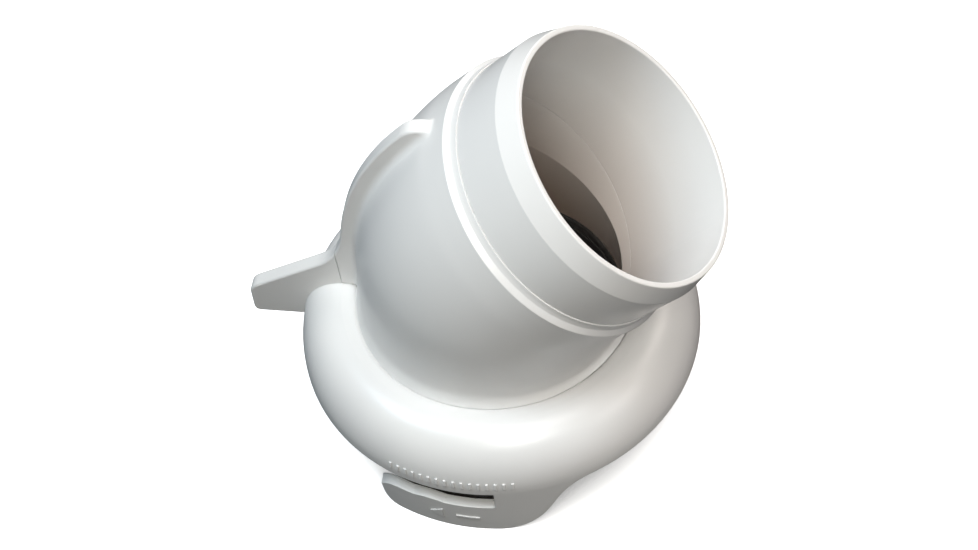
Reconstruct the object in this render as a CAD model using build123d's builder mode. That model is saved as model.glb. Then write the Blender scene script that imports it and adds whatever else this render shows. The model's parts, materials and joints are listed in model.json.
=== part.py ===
from build123d import *
from math import cos, radians, sin, tan
import os

# Twist-lock flue elbow, 45 degrees, millimetres.
# Origin: centre of the collar's bottom rim, on the inlet axis.
# +Z runs up the inlet axis and +X is the side that the outlet leans towards.

# ---- driving dimensions -------------------------------------------------------------
bend_angle = 45.0          # between the inlet axis and the outlet axis
bend_radius = 76.0         # of the tube's centreline
bend_height = 52.0         # where the inlet axis and the outlet axis cross
tube_r = 52.5              # outside of the elbow tube
tube_wall = 3.2
bore_r = 47.2              # straight bores that meet in the sharp throat
running_gap = 0.08         # radial clearance where one piece turns in another
seat_gap = 0.05            # clearance where a piece is pushed in and stays
face_gap = 0.1             # axial clearance between faces that slide on each other

# waist between the tube and its flared foot on the collar
waist_depth = 2.2
waist_angle = 28.0         # round the bend, where the tube is back to its full radius
flare_angle = 4.0          # round the bend, where the foot's flare has run out
bend_stations = 12
station_crowding = 1.5     # 1 spaces the stations evenly, more crowds them at the foot

# neck that stands inside the collar
neck_r = 50.5
clip_groove_r = 49.0
pocket_r = 48.5            # pocket for the inlet seal and its clamp ring
pocket_height = 12.5

# twist-lock collar
collar_r = 75.7
collar_wall = 3.8
collar_height = 22.0
dome_level_r = 57.8        # where the dome has levelled out
dome_wall = 3.4
collar_hole_r = 52.8
hub_r = 57.0
hub_low = 16.9

# hooks under the collar, one at the front and one at the back
hook_count = 2
hook_bottom = -25.5
hook_lip_top = -9.7
hook_foot_x = 6.0
hook_flank = (25.4, -16.4)
hook_flank_top = (41.0, 0.0)
hook_toe_x = -29.0
hook_nose = (-36.1, -19.5)
hook_tip = (-36.7, -14.5)
hook_lip_end_x = -28.0
slot_closed_x = 7.9
slot_round = 1.2
detent_x = -17.0           # bump on the lip that the lug snaps over
detent_height = 1.0
detent_half = 6.0

# lever on the collar and rib along the elbow's spine, both in the bend plane
web_thickness = 6.1
web_inner_x = -5.0
lever_slope = (-92.0, 17.4), (-66.0, 32.7)
lever_end = (-96.2, 3.0), (-95.8, 11.5)
lever_heel_x = -93.5
rib_crest = (-53.9, 52.5), (-45.6, 79.5), (-24.5, 110.0)
rib_end_x = -17.5
web_split_r = 58.1         # the lever is outside this radius, the foot of the rib inside
split_gap = 0.15
rib_gap = 0.3              # between the rib's foot and the collar
web_edge = 1.0
rib_top = 113.0
rib_blend = 2.5

# outlet socket and spigot, measured along the outlet axis from the bend point
socket_floor = 24.0
socket_mouth = 45.0
lip_edge = 40.6            # where the socket's bevelled lip starts
lip_bevel_end = 42.4
lip_bevel_r = 50.9
lip_r = 50.4               # of the lip's end face, after a hollow run-out
spigot_r = 50.0
spigot_seat_r = 49.2       # the part that turns inside the socket
spigot_mouth = 73.0
spigot_mouth_r = 47.6
spigot_bore_r = 45.6       # at the mouth
spigot_nose = 0.6          # taper of the end inside the socket
spigot_nose_length = 1.2
lead_in_start = 64.6
mouth_edge = 0.5

# raised marks, 0.4 mm high
relief = 0.4
tick_count = 16
tick_start = -114.0
tick_span = 37.5
tick_width = 0.8
tick_low = 3.4
tick_height = 3.0
tick_depth = 4.0
pointer_x = -14.0
pointer_z = -17.5
pointer_r = 3.4
bar_x = -3.0
bar_length = 9.0
bar_width = 1.2

# stop of the collar's twist: a tab on the neck in a notch of the collar
twist_travel = 40.0
stop_tab_angle = 10.0
stop_tab_r = 52.2
stop_tab_root = 1.0
stop_play = 0.3

# seals and rings
inlet_r = 46.0             # clamp ring's bore, which takes the appliance's stub
seal_lip_r = 46.1
seal_web = 0.8             # how far the seal stands back between its two lips
seal_lip_width = 0.9
clamp_height = 8.0
clamp_flange = 1.5
washer_thickness = 1.2
clip_thickness = 1.8
clip_opening = 12.0
spigot_clip_depth = 1.1
spigot_clip_play = 0.3
washer_r = 55.0
washer_edge = 0.2
collar_clip_r = 53.5
clip_end_round = 0.6
lead_in = 0.6
seal_edge = 0.3
spigot_seal_start = 28.0
spigot_seal_width = 2.4
spigot_seal_depth = 0.9
spigot_clip_start = 36.0
socket_groove_r = 50.7
collar_clip_low = 13.7
stop_low = 17.2
stop_high = 20.4

# ---- planes and axes of the bend ----------------------------------------------------
lean = Vector(sin(radians(bend_angle)), 0, cos(radians(bend_angle)))
across = Vector(cos(radians(bend_angle)), 0, -sin(radians(bend_angle)))
half = radians(bend_angle / 2)
bend_point = Vector(0, 0, bend_height)
outlet_axis = Axis(bend_point, lean)
outlet_plane = Plane(bend_point, x_dir=(0, 1, 0), z_dir=lean)
outlet_section = Plane(bend_point, x_dir=across, z_dir=(0, -1, 0))
mitre_plane = Plane(bend_point, x_dir=(0, 1, 0), z_dir=(sin(half), 0, cos(half)))
tangent_length = bend_radius * tan(half)
neck_top = bend_height - tangent_length
outlet_start = outlet_plane.offset(tangent_length)
ledge = neck_top - face_gap    # of the collar, held down by the tube's lower end
ceiling = collar_height - dome_wall
collar_bore_r = neck_r + running_gap


def bend_plane_point(radius, angle):
    """A point at this radius from the centre of the bend, this many degrees round it."""
    turned = radians(angle)
    return bend_radius - radius * cos(turned), neck_top + radius * sin(turned)


def bend_section(angle):
    """The plane square to the tube's centreline, this many degrees round the bend."""
    turned = radians(angle)
    x = bend_radius - bend_radius * cos(turned)
    z = neck_top + bend_radius * sin(turned)
    return Plane((x, 0, z), x_dir=(0, 1, 0), z_dir=(sin(turned), 0, cos(turned)))


def waist_share(angle):
    """How much of the waist's depth the tube has there: 0 at the foot and where the tube is full."""
    if angle >= waist_angle:
        return 0
    flare = sin(radians(90 * min(angle / flare_angle, 1)))
    return flare * (1 + cos(radians(180 * angle / waist_angle))) / 2


def radial_plane(azimuth):
    """The vertical plane at this azimuth, with x outwards and y up."""
    turned = radians(azimuth)
    return Plane((0, 0, 0), x_dir=(cos(turned), sin(turned), 0), z_dir=(sin(turned), -cos(turned), 0))


# ---- flue way: two straight bores meeting in a sharp throat, rounded on the spine ----
with BuildPart() as inlet_way:
    with BuildSketch(Plane.XY.offset(-1)):
        Circle(bore_r)
    extrude(amount=3 * bend_height)
    split(bisect_by=mitre_plane, keep=Keep.BOTTOM)

with BuildPart() as outlet_way:
    with BuildSketch(outlet_plane.offset(-bend_height)):
        Circle(bore_r)
    extrude(amount=bend_height + socket_floor + 1)
    split(bisect_by=mitre_plane, keep=Keep.TOP)

with BuildPart() as bend_way:
    with BuildLine(Plane.XZ) as bend_way_line:
        RadiusArc((0, neck_top), bend_plane_point(bend_radius, bend_angle), bend_radius)
    with BuildSketch(Plane.XY.offset(neck_top)):
        Circle(tube_r - tube_wall)
    sweep(path=bend_way_line.line)
    with BuildSketch(Plane.XY.offset(-1)):
        Circle(tube_r - tube_wall)
    extrude(amount=neck_top + 1)
    with BuildSketch(outlet_start):
        Circle(tube_r - tube_wall)
    extrude(amount=socket_floor)

with BuildPart() as flue_way:
    add(inlet_way.part)
    add(outlet_way.part)
    add(bend_way.part, mode=Mode.INTERSECT)

# ---- plate in the bend plane that gives both the lever and the rib -------------------
with BuildPart() as web:
    with BuildSketch(Plane.XZ):
        with BuildLine():
            lever_top = Line(*lever_slope)
            crest = ThreePointArc(*rib_crest)
            lever_tip = Line(*lever_end)
            Spline(lever_top @ 1, crest @ 0, tangents=[lever_top % 1, crest % 0])
            Spline(crest @ 1, (rib_end_x, rib_top), tangents=[crest % 1, (1, 0)])
            Polyline(
                (rib_end_x, rib_top),
                (web_inner_x, rib_top),
                (web_inner_x, 0),
                (lever_heel_x, 0),
            )
            Spline((lever_heel_x, 0), lever_tip @ 0, tangents=[(-1, 0), lever_tip % 0])
            Spline(lever_tip @ 1, lever_top @ 0, tangents=[lever_tip % 1, lever_top % 0])
        make_face()
    extrude(amount=web_thickness / 2, both=True)
    flanks = web.faces().filter_by(Axis.Y)
    outer_edges = flanks.edges().filter_by_position(Axis.X, 2 * lever_heel_x, web_inner_x - 1)
    fillet(outer_edges, web_edge)

with BuildPart() as spine_rib:
    with BuildSketch(Plane.XY.offset(collar_height + rib_gap)):
        Circle(web_split_r - split_gap)
    extrude(amount=rib_top)
    add(web.part, mode=Mode.INTERSECT)

# ---- elbow body -----------------------------------------------------------------------
with BuildPart() as elbow_body:
    # bent tube, with a slight waist above its flared foot
    for station in range(bend_stations + 1):
        angle = bend_angle * (station / bend_stations) ** station_crowding
        with BuildSketch(bend_section(angle)):
            Circle(tube_r - waist_depth * waist_share(angle))
    loft()
    add(spine_rib.part)
    # socket with its bevelled lip
    with BuildSketch(outlet_section):
        with BuildLine():
            Polyline(
                (0, tangent_length),
                (tube_r, tangent_length),
                (tube_r, lip_edge),
                (lip_bevel_r, lip_bevel_end),
            )
            TangentArc((lip_r, socket_mouth), (lip_bevel_r, lip_bevel_end), tangent=(0, -1))
            Polyline((lip_r, socket_mouth), (0, socket_mouth), (0, tangent_length))
        make_face()
    revolve(axis=outlet_axis)
    # neck inside the collar
    with BuildSketch():
        Circle(neck_r)
    extrude(amount=neck_top)
    # soft blend along both flanks of the rib
    flank_lines = elbow_body.edges().filter_by(GeomType.BSPLINE)
    fillet(flank_lines.filter_by(lambda line: bend_radius < line.length < 2 * bend_radius), rib_blend)
    # tab that stops the collar's turn
    with BuildSketch(radial_plane(-stop_tab_angle / 2)):
        with Locations(((neck_r + stop_tab_r - stop_tab_root) / 2, (stop_low + stop_high) / 2)):
            Rectangle(stop_tab_r - neck_r + stop_tab_root, stop_high - stop_low)
    revolve(axis=Axis.Z, revolution_arc=stop_tab_angle)
    # flue way, pocket for the inlet seal, socket bore and the two clip grooves
    add(flue_way.part, mode=Mode.SUBTRACT)
    with BuildSketch(Plane.XY.offset(-1)):
        Circle(pocket_r)
    extrude(amount=pocket_height + 1, mode=Mode.SUBTRACT)
    with BuildSketch(outlet_plane.offset(socket_floor)):
        Circle(spigot_seat_r + running_gap)
    extrude(amount=socket_mouth, mode=Mode.SUBTRACT)
    with BuildSketch(Plane.XY.offset(collar_clip_low - seat_gap)):
        Circle(neck_r + 1)
        Circle(clip_groove_r, mode=Mode.SUBTRACT)
    extrude(amount=clip_thickness + 2 * seat_gap, mode=Mode.SUBTRACT)
    with BuildSketch(outlet_plane.offset(spigot_clip_start - seat_gap)):
        Circle(socket_groove_r)
    extrude(amount=clip_thickness + 2 * seat_gap, mode=Mode.SUBTRACT)

# ---- twist-lock collar: dome, lever, two hooks ----------------------------------------
with BuildPart() as hook:
    with BuildSketch(Plane.XZ):
        with BuildLine():
            Spline(
                (hook_foot_x, hook_bottom), hook_flank, hook_flank_top, tangents=[(1, 0), (1, 0.15)]
            )
            Polyline(hook_flank_top, (slot_closed_x, 0), (slot_closed_x, hook_lip_top + slot_round))
            RadiusArc(
                (slot_closed_x, hook_lip_top + slot_round),
                (slot_closed_x - slot_round, hook_lip_top),
                slot_round,
            )
            Line((slot_closed_x - slot_round, hook_lip_top), (detent_x + detent_half, hook_lip_top))
            ThreePointArc(
                (detent_x + detent_half, hook_lip_top),
                (detent_x, hook_lip_top + detent_height),
                (detent_x - detent_half, hook_lip_top),
            )
            Line((detent_x - detent_half, hook_lip_top), (hook_lip_end_x, hook_lip_top))
            Spline((hook_lip_end_x, hook_lip_top), hook_tip, tangents=[(-1, 0), (-0.8, -1)])
            Line(hook_tip, hook_nose)
            Spline(hook_nose, (hook_toe_x, hook_bottom), tangents=[(0.15, -1), (1, 0)])
            Line((hook_toe_x, hook_bottom), (hook_foot_x, hook_bottom))
        make_face()
    extrude(amount=collar_r + 1)
    with BuildSketch(Plane.XY.offset(hook_bottom - 1)):
        Circle(collar_r)
        Circle(collar_r - collar_wall, mode=Mode.SUBTRACT)
    extrude(amount=collar_height - hook_bottom, mode=Mode.INTERSECT)

with BuildPart() as tick:
    with BuildSketch(radial_plane(0)):
        with Locations((collar_r - 1, tick_low + tick_height / 2)):
            Rectangle(tick_depth, tick_height)
        with Locations((dome_level_r, 0)):
            Ellipse(
                collar_r - dome_level_r + relief,
                collar_height + relief,
                mode=Mode.INTERSECT,
            )
    revolve(axis=Axis.Z, revolution_arc=tick_width)

with BuildPart() as pointer:
    with BuildSketch(Plane.XZ):
        with Locations((pointer_x, pointer_z)):
            RegularPolygon(pointer_r, 3, rotation=180)
        with Locations((bar_x, pointer_z)):
            Rectangle(bar_length, bar_width)
    extrude(amount=2 * collar_r)
    with BuildSketch(Plane.XY.offset(hook_bottom)):
        Circle(collar_r + relief)
        Circle(collar_r - 1, mode=Mode.SUBTRACT)
    extrude(amount=-hook_bottom, mode=Mode.INTERSECT)

with BuildPart() as bayonet_collar:
    # lever
    with BuildSketch():
        Circle(2 * collar_r)
        Circle(web_split_r, mode=Mode.SUBTRACT)
    extrude(amount=2 * collar_height)
    add(web.part, mode=Mode.INTERSECT)
    # dome with a rolled rim round the body, and the hub under it
    with BuildSketch(Plane.XZ):
        with BuildLine():
            EllipticalCenterArc(
                (dome_level_r, 0), collar_r - dome_level_r, collar_height, arc_size=90
            )
            EllipticalCenterArc(
                (dome_level_r, ledge),
                dome_level_r - collar_hole_r,
                collar_height - ledge,
                start_angle=90,
                arc_size=90,
            )
            Polyline((collar_hole_r, ledge), (collar_bore_r, ledge), (collar_bore_r, 0), (collar_r, 0))
        make_face()
    revolve(axis=Axis.Z)
    # space inside it
    with BuildSketch(Plane.XZ):
        with BuildLine():
            Polyline(
                (dome_level_r, ceiling),
                (hub_r, ceiling),
                (hub_r, hub_low),
                (neck_r, hub_low),
                (neck_r, -1),
                (collar_r - collar_wall, -1),
                (collar_r - collar_wall, 0),
            )
            EllipticalCenterArc(
                (dome_level_r, 0), collar_r - collar_wall - dome_level_r, ceiling, arc_size=90
            )
        make_face()
    revolve(axis=Axis.Z, mode=Mode.SUBTRACT)
    # hooks
    with PolarLocations(0, hook_count):
        add(hook.part)
    # notch that the neck's tab runs in
    with BuildSketch(radial_plane(-twist_travel - stop_tab_angle / 2 - stop_play)):
        with Locations(((neck_r + stop_tab_r) / 2, collar_height / 2)):
            Rectangle(stop_tab_r - neck_r + 2 * stop_play, collar_height)
    revolve(axis=Axis.Z, revolution_arc=twist_travel + stop_tab_angle + 2 * stop_play, mode=Mode.SUBTRACT)
    # raised pointer and graduations in place of moulded lettering
    add(pointer.part)
    with PolarLocations(0, tick_count, tick_start, tick_span, rotate=True):
        add(tick.part)

# ---- rings that hold the collar on the neck -------------------------------------------
washer_low = hub_low - face_gap - washer_thickness
with BuildPart() as collar_thrust_washer:
    with BuildSketch(Plane.XY.offset(washer_low)):
        Circle(washer_r)
        Circle(neck_r + running_gap, mode=Mode.SUBTRACT)
    extrude(amount=washer_thickness)
    chamfer(collar_thrust_washer.edges(), washer_edge)

with BuildPart() as collar_retaining_ring:
    with BuildSketch(Plane.XY.offset(collar_clip_low)):
        Circle(collar_clip_r)
        Circle(clip_groove_r + seat_gap, mode=Mode.SUBTRACT)
        with Locations((0, -neck_r)):
            Rectangle(clip_opening, 4 * clip_thickness, mode=Mode.SUBTRACT)
    extrude(amount=clip_thickness)
    fillet(collar_retaining_ring.edges().filter_by(Axis.Z), clip_end_round)

# ---- inlet seal and the ring that clamps it in its pocket ------------------------------
with BuildPart() as inlet_lip_seal:
    with BuildSketch(Plane.XZ):
        with BuildLine():
            Polyline(
                (pocket_r - seat_gap, clamp_height + seat_gap),
                (pocket_r - seat_gap, pocket_height - seat_gap),
                (seal_lip_r + seal_web, pocket_height - seat_gap),
                (seal_lip_r, pocket_height - seal_lip_width),
                (seal_lip_r + seal_web, (pocket_height + clamp_height) / 2),
                (seal_lip_r, clamp_height + seal_lip_width),
                (seal_lip_r + seal_web, clamp_height + seat_gap),
                close=True,
            )
        make_face()
    revolve(axis=Axis.Z)

with BuildPart() as seal_clamp_ring:
    with BuildSketch():
        Circle(pocket_r - seat_gap)
        Circle(inlet_r, mode=Mode.SUBTRACT)
    extrude(amount=clamp_height)
    # flange that stops the ring against the end of the neck
    with BuildSketch(Plane.XY.offset(-seat_gap)):
        Circle(neck_r)
        Circle(inlet_r, mode=Mode.SUBTRACT)
    extrude(amount=-clamp_flange)
    with BuildSketch(Plane.XY.offset(-seat_gap)):
        Circle(pocket_r - seat_gap)
        Circle(inlet_r, mode=Mode.SUBTRACT)
    extrude(amount=seat_gap)
    low_edges = seal_clamp_ring.edges().group_by(Axis.Z)[0]
    chamfer(low_edges, lead_in)

# ---- outlet spigot, its seal and its retaining ring ------------------------------------
with BuildPart() as outlet_spigot:
    with BuildSketch(outlet_section):
        with BuildLine():
            Polyline(
                (bore_r, socket_floor + face_gap),
                (spigot_seat_r - spigot_nose, socket_floor + face_gap),
                (spigot_seat_r, socket_floor + face_gap + spigot_nose_length),
                (spigot_seat_r, socket_mouth + face_gap),
                (spigot_r, socket_mouth + face_gap),
                (spigot_r, lead_in_start),
                (spigot_mouth_r, spigot_mouth),
                (spigot_bore_r, spigot_mouth),
                close=True,
            )
        make_face()
    revolve(axis=outlet_axis)
    mouth_edges = outlet_spigot.edges().sort_by(outlet_axis)[-2:]
    fillet(mouth_edges, mouth_edge)
    for start, width, depth in (
        (spigot_seal_start - seat_gap, spigot_seal_width + 2 * seat_gap, spigot_seal_depth),
        (spigot_clip_start - face_gap, clip_thickness + 2 * face_gap, spigot_clip_depth),
    ):
        with BuildSketch(outlet_plane.offset(start)):
            Circle(spigot_r + 1)
            Circle(spigot_seat_r - depth, mode=Mode.SUBTRACT)
        extrude(amount=width, mode=Mode.SUBTRACT)

with BuildPart() as spigot_seal:
    with BuildSketch(outlet_plane.offset(spigot_seal_start)):
        Circle(spigot_seat_r)
        Circle(spigot_seat_r - spigot_seal_depth + seat_gap, mode=Mode.SUBTRACT)
    extrude(amount=spigot_seal_width)
    fillet(spigot_seal.edges(), seal_edge)

with BuildPart() as spigot_retaining_ring:
    with BuildSketch(outlet_plane.offset(spigot_clip_start)):
        Circle(socket_groove_r - seat_gap)
        Circle(spigot_seat_r - spigot_clip_depth + spigot_clip_play, mode=Mode.SUBTRACT)
        with Locations((0, spigot_seat_r)):
            Rectangle(clip_opening, 4 * clip_thickness, mode=Mode.SUBTRACT)
    extrude(amount=clip_thickness)

# ---- one STEP file per piece -------------------------------------------------------------
pieces = {
    "elbow_body": elbow_body,
    "bayonet_collar": bayonet_collar,
    "collar_thrust_washer": collar_thrust_washer,
    "collar_retaining_ring": collar_retaining_ring,
    "inlet_lip_seal": inlet_lip_seal,
    "seal_clamp_ring": seal_clamp_ring,
    "outlet_spigot": outlet_spigot,
    "spigot_seal": spigot_seal,
    "spigot_retaining_ring": spigot_retaining_ring,
}
os.makedirs("parts", exist_ok=True)
for piece_name, piece in pieces.items():
    piece.part.label = piece_name
    export_step(piece.part, f"parts/{piece_name}.step")
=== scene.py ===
"""Looks of the twist-lock flue elbow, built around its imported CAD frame. Lengths are in metres."""

import json
import math

import bpy
from mathutils import Matrix, Vector


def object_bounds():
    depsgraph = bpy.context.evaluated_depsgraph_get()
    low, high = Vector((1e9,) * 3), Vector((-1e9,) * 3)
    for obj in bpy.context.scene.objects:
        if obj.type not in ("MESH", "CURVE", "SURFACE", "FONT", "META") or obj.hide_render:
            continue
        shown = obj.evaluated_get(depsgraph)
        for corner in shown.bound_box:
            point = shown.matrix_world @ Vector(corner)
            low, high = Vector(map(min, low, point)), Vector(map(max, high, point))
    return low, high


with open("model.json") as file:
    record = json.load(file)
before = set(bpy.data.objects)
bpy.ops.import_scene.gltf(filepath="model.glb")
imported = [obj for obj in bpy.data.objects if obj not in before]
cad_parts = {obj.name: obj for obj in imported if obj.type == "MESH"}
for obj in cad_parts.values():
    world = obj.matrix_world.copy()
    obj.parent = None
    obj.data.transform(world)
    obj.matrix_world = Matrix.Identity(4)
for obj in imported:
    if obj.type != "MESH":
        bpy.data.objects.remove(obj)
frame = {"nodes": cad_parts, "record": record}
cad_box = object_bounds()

MM = 0.001
UP = Vector((0, 0, 1))

joints = frame["record"]["behaviour"]["joints"]
swivel = next(joint for joint in joints if joint["name"] == "outlet_swivel")
BEND_POINT = Vector(swivel["pos_m"])
OUTLET_AXIS = Vector(swivel["axis"])

# ---- camera: angles in degrees, azimuth 0 looks along +Y ---------------------------------------
VIEW_AZIMUTH = 15.35
VIEW_ELEVATION = 53.86
VIEW_ROLL = 8.88
VIEW_DISTANCE = 0.642
VIEW_TARGET = Vector((0.0015, -0.0120, 0.0462))
NEAREST_SEEN = 10 * MM
LENS_MM = 66.26
SENSOR_MM = 36

# ---- lights: round softboxes turned to the view's target -----------------------------------------
# name, azimuth, elevation, diameter, watts, colour
SOFTBOXES = (
    ("overhead", 10, 82, 0.5, 4.0, (1.0, 0.93, 0.89)),
    ("front", 15, 54, 0.3, 3.3, (1.0, 1.0, 0.93)),
    ("left", -75, 65, 0.4, 3.6, (0.66, 0.86, 1.0)),
    ("right", 75, 35, 0.4, 1.3, (1.0, 0.96, 0.94)),
    ("rim", 120, 45, 0.4, 1.7, (1.0, 0.91, 0.85)),
    ("back", 185, 35, 0.5, 2.2, (1.0, 0.97, 0.94)),
)
LIGHT_DISTANCE = 0.9
WORLD_COLOUR = (1.0, 1.0, 1.0)
WORLD_STRENGTH = 0.01

# ---- floor ---------------------------------------------------------------------------------------
FLOOR_SIZE = 6.0
FLOOR_PALE = (0.86, 0.86, 0.86)
FLOOR_PALER = (0.88, 0.88, 0.88)
FLOOR_GLOW = 0.88                       # to the camera
FLOOR_BOUNCE = (0.10, 0.10, 0.105)      # to everything else
UNDER_SHADE = (0.035, 0.027, 0.022)     # to the camera, under the object
SHADE_REACH = 200 * MM                  # what stands nearer than this shades the floor
SHADE_START = 0.55                      # share of the sky still clear where the shade starts
SHADE_FULL = 0.15
SHADE_SAMPLES = 16

# ---- colours, linear -----------------------------------------------------------------------------
WHITE = (0.80, 0.79, 0.775)
WHITE_SHADE = (0.76, 0.75, 0.74)
WORN_WHITE = (0.86, 0.855, 0.85)
# painted shade: a warm dark brown laid on the walls deep in the flue way
FLUE_PAINTED_SHADE = (0.34, 0.255, 0.20)
RUBBER = (0.018, 0.017, 0.016)
RUBBER_BLOOM = (0.050, 0.048, 0.046)
ACETAL = (0.030, 0.029, 0.028)
ACETAL_SHADE = (0.040, 0.038, 0.036)
ACETAL_WORN = (0.11, 0.105, 0.10)
STEEL = (0.56, 0.56, 0.55)
STEEL_SHADE = (0.42, 0.42, 0.42)
STEEL_BRIGHT = (0.75, 0.75, 0.75)

# ---- wear, and painted shade in the flue way -----------------------------------------------------
FLUE_SHADE_SHARE = 0.9             # how far the flue way goes to its painted shade
FLUE_SHADE_START = 48 * MM         # from the bend point towards the mouth
FLUE_SHADE_FULL = -10 * MM
FACING_IN = -0.5              # cosine to the outward direction of a wall that counts as inside
PLASTIC_WEAR = 0.55           # how far the edges go to their worn colour
PLASTIC_DULLING = 0.08        # roughness added along the edges
RUBBER_WEAR = 0.5
EDGE_TURN = 0.88              # cosine between true and rounded normal that counts as a full edge
EDGE_SAMPLES = 4

# ---- sockets of a Mix node that mixes colours ----------------------------------------------------
MIX_FACTOR = 0
MIX_FIRST = 6
MIX_SECOND = 7
MIX_RESULT = 2


# ---- node helpers --------------------------------------------------------------------------------
def node(tree, kind, inputs=None, **settings):
    """A shader node with its settings made and its inputs set or linked."""
    made = tree.nodes.new("ShaderNode" + kind)
    for name, value in settings.items():
        setattr(made, name, value)
    for key, value in (inputs or {}).items():
        if isinstance(value, bpy.types.NodeSocket):
            tree.links.new(value, made.inputs[key])
        else:
            made.inputs[key].default_value = value
    return made


def rgba(colour):
    return (*colour, 1.0)


def noise(tree, coordinates, size, detail=2.0, stretch=(1, 1, 1)):
    """Noise whose features are about this many metres across, from 0 to 1."""
    scaled = node(tree, "Mapping", {"Vector": coordinates, "Scale": stretch})
    made = node(
        tree,
        "TexNoise",
        {"Vector": scaled.outputs["Vector"], "Scale": 1 / size, "Detail": detail, "Roughness": 0.55},
    )
    return made.outputs["Fac"]


def remap(tree, value, low, high, to_low=0.0, to_high=1.0):
    """The value carried from low..high to to_low..to_high, and clamped there."""
    made = node(
        tree,
        "MapRange",
        {"Value": value, "From Min": low, "From Max": high, "To Min": to_low, "To Max": to_high},
    )
    return made.outputs["Result"]


def math_node(tree, operation, first, second):
    made = node(tree, "Math", {0: first, 1: second}, operation=operation)
    return made.outputs["Value"]


def vector_node(tree, operation, *values, output="Vector"):
    made = node(tree, "VectorMath", dict(enumerate(values)), operation=operation)
    return made.outputs[output]


def mix_colour(tree, factor, first, second):
    """The first colour at factor 0, the second at factor 1."""
    inputs = {MIX_FACTOR: factor, MIX_FIRST: first, MIX_SECOND: second}
    return node(tree, "Mix", inputs, data_type="RGBA").outputs[MIX_RESULT]


def bump(tree, height, depth, strength, normal=None):
    """The normal with relief on it, depth metres for a height from 0 to 1."""
    made = node(tree, "Bump", {"Height": height, "Distance": depth, "Strength": strength})
    if normal is not None:
        tree.links.new(normal, made.inputs["Normal"])
    return made.outputs["Normal"]


def rounded_edges(tree, radius):
    """The normal as if the edges were rounded, and a mask that is 1 along them."""
    rounded = node(tree, "Bevel", {"Radius": radius}, samples=EDGE_SAMPLES).outputs["Normal"]
    true_normal = node(tree, "NewGeometry").outputs["Normal"]
    alike = vector_node(tree, "DOT_PRODUCT", rounded, true_normal, output="Value")
    return rounded, remap(tree, alike, low=1.0, high=EDGE_TURN)


def flue_depth(tree, coordinates):
    """0 on every outside and at the mouth, rising to 1 on the walls deep in the flue way."""
    place = vector_node(tree, "SUBTRACT", coordinates, BEND_POINT)
    past_bend = vector_node(tree, "DOT_PRODUCT", place, OUTLET_AXIS + UP, output="Value")
    past_bend = math_node(tree, "GREATER_THAN", past_bend, 0.0)
    axis = vector_node(tree, "MULTIPLY_ADD", past_bend, OUTLET_AXIS - UP, UP)
    along = vector_node(tree, "DOT_PRODUCT", place, axis, output="Value")
    radial = vector_node(tree, "SUBTRACT", place, vector_node(tree, "MULTIPLY", axis, along))
    radial = vector_node(tree, "NORMALIZE", radial)
    normal = node(tree, "TexCoord").outputs["Normal"]
    facing_out = vector_node(tree, "DOT_PRODUCT", normal, radial, output="Value")
    inside = remap(tree, facing_out, low=0.0, high=FACING_IN)
    to_mouth = vector_node(tree, "DOT_PRODUCT", place, OUTLET_AXIS, output="Value")
    return math_node(tree, "MULTIPLY", inside, remap(tree, to_mouth, FLUE_SHADE_START, FLUE_SHADE_FULL))


def new_material(name):
    """An empty material, its node tree, and a socket with the place on the object."""
    material = bpy.data.materials.new(name)
    material.use_nodes = True
    material.node_tree.nodes.clear()
    coordinates = node(material.node_tree, "TexCoord").outputs["Object"]
    return material, material.node_tree, coordinates


def close_material(tree, inputs):
    """Ends the tree with a principled shader that has these inputs."""
    shader = node(tree, "BsdfPrincipled", inputs)
    node(tree, "OutputMaterial", {"Surface": shader.outputs["BSDF"]})


# ---- materials -----------------------------------------------------------------------------------
def moulded_plastic(name, colour, shade, worn, roughness, grain_depth, flue_shading=0.0):
    """Satin moulded plastic: colour drift, flow lines, mould grain, worn edges, and painted shade that
    darkens the flue way to a warm brown.
    """
    material, tree, coordinates = new_material(name)
    drift = noise(tree, coordinates, size=60 * MM)
    flow = noise(tree, coordinates, size=30 * MM, detail=3.0, stretch=(1.0, 1.0, 0.3))
    grain = noise(tree, coordinates, size=0.35 * MM, detail=3.0)
    ripple = noise(tree, coordinates, size=22 * MM)
    rounded, edges = rounded_edges(tree, radius=0.5 * MM)
    drifted = remap(tree, drift, low=0.35, high=0.65)
    base = mix_colour(tree, drifted, rgba(colour), rgba(shade))
    base = mix_colour(tree, math_node(tree, "MULTIPLY", edges, PLASTIC_WEAR), base, rgba(worn))
    if flue_shading:
        # painted shade: the walls deep in the flue way go towards a warm brown
        flue_shaded = math_node(tree, "MULTIPLY", flue_depth(tree, coordinates), flue_shading)
        base = mix_colour(tree, flue_shaded, base, rgba(FLUE_PAINTED_SHADE))
    gloss = remap(tree, flow, low=0.3, high=0.7, to_low=roughness - 0.02, to_high=roughness + 0.03)
    dulled = math_node(tree, "MULTIPLY", edges, PLASTIC_DULLING)
    rippled = bump(tree, ripple, depth=0.15 * MM, strength=0.3, normal=rounded)
    close_material(
        tree,
        {
            "Base Color": base,
            "Roughness": math_node(tree, "ADD", gloss, dulled),
            "IOR": 1.5,
            "Specular IOR Level": 0.6,
            "Normal": bump(tree, grain, depth=grain_depth, strength=0.3, normal=rippled),
        },
    )
    return material


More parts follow.
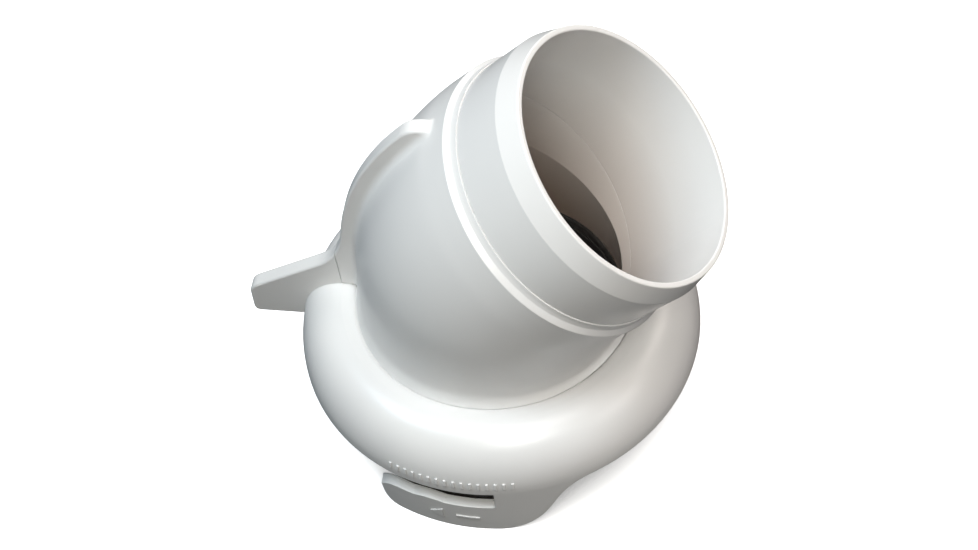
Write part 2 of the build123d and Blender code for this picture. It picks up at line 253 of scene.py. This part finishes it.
def seal_rubber():
    """Matte black moulded rubber with a pale bloom and a fine skin."""
    material, tree, coordinates = new_material("seal_rubber")
    bloom = noise(tree, coordinates, size=5 * MM, detail=4.0)
    skin = noise(tree, coordinates, size=0.4 * MM, detail=4.0)
    rounded, edges = rounded_edges(tree, radius=0.3 * MM)
    bloomed = remap(tree, bloom, low=0.45, high=0.75)
    base = mix_colour(tree, bloomed, rgba(RUBBER), rgba(RUBBER_BLOOM))
    worn = math_node(tree, "MULTIPLY", edges, RUBBER_WEAR)
    close_material(
        tree,
        {
            "Base Color": mix_colour(tree, worn, base, rgba(RUBBER_BLOOM)),
            "Roughness": remap(tree, bloom, low=0.3, high=0.7, to_low=0.55, to_high=0.75),
            "Normal": bump(tree, skin, depth=0.03 * MM, strength=0.6, normal=rounded),
        },
    )
    return material


def spring_steel():
    """Rolled spring steel: fine rolling lines, bright edges, faint oil stains."""
    material, tree, coordinates = new_material("spring_steel")
    lines = noise(tree, coordinates, size=0.25 * MM, stretch=(0.05, 1.0, 1.0))
    oil = noise(tree, coordinates, size=12 * MM, detail=4.0)
    rounded, edges = rounded_edges(tree, radius=0.15 * MM)
    oiled = remap(tree, oil, low=0.4, high=0.7)
    base = mix_colour(tree, oiled, rgba(STEEL), rgba(STEEL_SHADE))
    line_gloss = remap(tree, lines, low=0.3, high=0.7, to_low=0.22, to_high=0.36)
    oil_gloss = remap(tree, oil, low=0.4, high=0.7, to_high=0.12)
    close_material(
        tree,
        {
            "Base Color": mix_colour(tree, edges, base, rgba(STEEL_BRIGHT)),
            "Metallic": 1.0,
            "Roughness": math_node(tree, "ADD", line_gloss, oil_gloss),
            "Normal": bump(tree, lines, depth=0.01 * MM, strength=0.4, normal=rounded),
        },
    )
    return material


def studio_floor():
    """Matte pale sheet that glows for the camera only, with a painted shadow where the object crowds
    out its sky. The object sees a dim floor.
    """
    material, tree, coordinates = new_material("studio_floor")
    mottle = noise(tree, coordinates, size=0.25)
    fibres = noise(tree, coordinates, size=1.5 * MM, detail=3.0)
    seen = node(tree, "LightPath").outputs["Is Camera Ray"]
    clear_sky = node(tree, "AmbientOcclusion", {"Distance": SHADE_REACH}, samples=SHADE_SAMPLES)
    # painted shadow: the floor's colour and glow go dark under and near the object
    shade = remap(tree, clear_sky.outputs["AO"], SHADE_START, SHADE_FULL)
    pale = mix_colour(tree, mottle, rgba(FLOOR_PALE), rgba(FLOOR_PALER))
    floor_with_painted_shadow = mix_colour(tree, shade, pale, rgba(UNDER_SHADE))
    glow = remap(tree, shade, low=0.0, high=1.0, to_low=FLOOR_GLOW, to_high=0.0)
    close_material(
        tree,
        {
            "Base Color": mix_colour(tree, seen, rgba(FLOOR_BOUNCE), floor_with_painted_shadow),
            "Roughness": 0.9,
            "Specular IOR Level": 0.0,
            "Normal": bump(tree, fibres, depth=0.1 * MM, strength=0.1),
            "Emission Color": rgba((1, 1, 1)),
            "Emission Strength": math_node(tree, "MULTIPLY", seen, glow),
        },
    )
    return material


def dress(obj, material):
    obj.data.materials.clear()
    obj.data.materials.append(material)


def dress_pieces():
    """Gives each piece of the frame its finish."""
    white = (WHITE, WHITE_SHADE, WORN_WHITE)
    acetal = (ACETAL, ACETAL_SHADE, ACETAL_WORN)
    satin = {"roughness": 0.30, "grain_depth": 0.012 * MM}
    smooth = {"roughness": 0.24, "grain_depth": 0.008 * MM}
    matte = {"roughness": 0.42, "grain_depth": 0.02 * MM}
    body_plastic = moulded_plastic("body_plastic", *white, **satin, flue_shading=FLUE_SHADE_SHARE)
    collar_plastic = moulded_plastic("collar_plastic", *white, **satin)
    spigot_plastic = moulded_plastic("spigot_plastic", *white, **smooth, flue_shading=FLUE_SHADE_SHARE)
    ring_plastic = moulded_plastic("ring_plastic", *acetal, **matte)
    rubber = seal_rubber()
    steel = spring_steel()
    finishes = {
        "elbow_body": body_plastic,
        "bayonet_collar": collar_plastic,
        "outlet_spigot": spigot_plastic,
        "seal_clamp_ring": ring_plastic,
        "collar_thrust_washer": ring_plastic,
        "inlet_lip_seal": rubber,
        "spigot_seal": rubber,
        "collar_retaining_ring": steel,
        "spigot_retaining_ring": steel,
    }
    for node_name, finish in finishes.items():
        dress(frame["nodes"][node_name], finish)


# ---- floor, light and camera ---------------------------------------------------------------------
def add_floor(height):
    bpy.ops.mesh.primitive_plane_add(size=FLOOR_SIZE, location=(0, 0, height))
    floor = bpy.context.object
    floor.name = "studio_floor"
    dress(floor, studio_floor())


def direction(azimuth, elevation):
    """Unit vector from the object towards a viewer or a light at these angles."""
    turn, rise = math.radians(azimuth), math.radians(elevation)
    return Vector(
        (math.sin(turn) * math.cos(rise), -math.cos(turn) * math.cos(rise), math.sin(rise))
    )


def add_softbox(name, azimuth, elevation, diameter, power, colour):
    data = bpy.data.lights.new(name, "AREA")
    data.shape = "DISK"
    data.size = diameter
    data.energy = power
    data.color = colour
    light = bpy.data.objects.new(name, data)
    towards = direction(azimuth, elevation)
    light.location = VIEW_TARGET + towards * LIGHT_DISTANCE
    light.rotation_mode = "QUATERNION"
    light.rotation_quaternion = towards.to_track_quat("Z", "Y")
    bpy.context.scene.collection.objects.link(light)


def add_world():
    world = bpy.data.worlds.new("studio")
    world.use_nodes = True
    background = world.node_tree.nodes["Background"]
    background.inputs["Color"].default_value = rgba(WORLD_COLOUR)
    background.inputs["Strength"].default_value = WORLD_STRENGTH
    bpy.context.scene.world = world


def add_camera():
    data = bpy.data.cameras.new("camera")
    data.lens = LENS_MM
    data.sensor_width = SENSOR_MM
    data.clip_start = NEAREST_SEEN
    camera = bpy.data.objects.new("camera", data)
    back = direction(VIEW_AZIMUTH, VIEW_ELEVATION)
    level = back.to_track_quat("Z", "Y").to_matrix()
    rolled = level @ Matrix.Rotation(math.radians(-VIEW_ROLL), 3, "Z")
    camera.matrix_world = Matrix.Translation(VIEW_TARGET + back * VIEW_DISTANCE) @ rolled.to_4x4()
    bpy.context.scene.collection.objects.link(camera)
    bpy.context.scene.camera = camera


dress_pieces()
bpy.context.scene.view_settings.view_transform = "Standard"
add_floor(cad_box[0].z)
for softbox in SOFTBOXES:
    add_softbox(*softbox)
add_world()
add_camera()
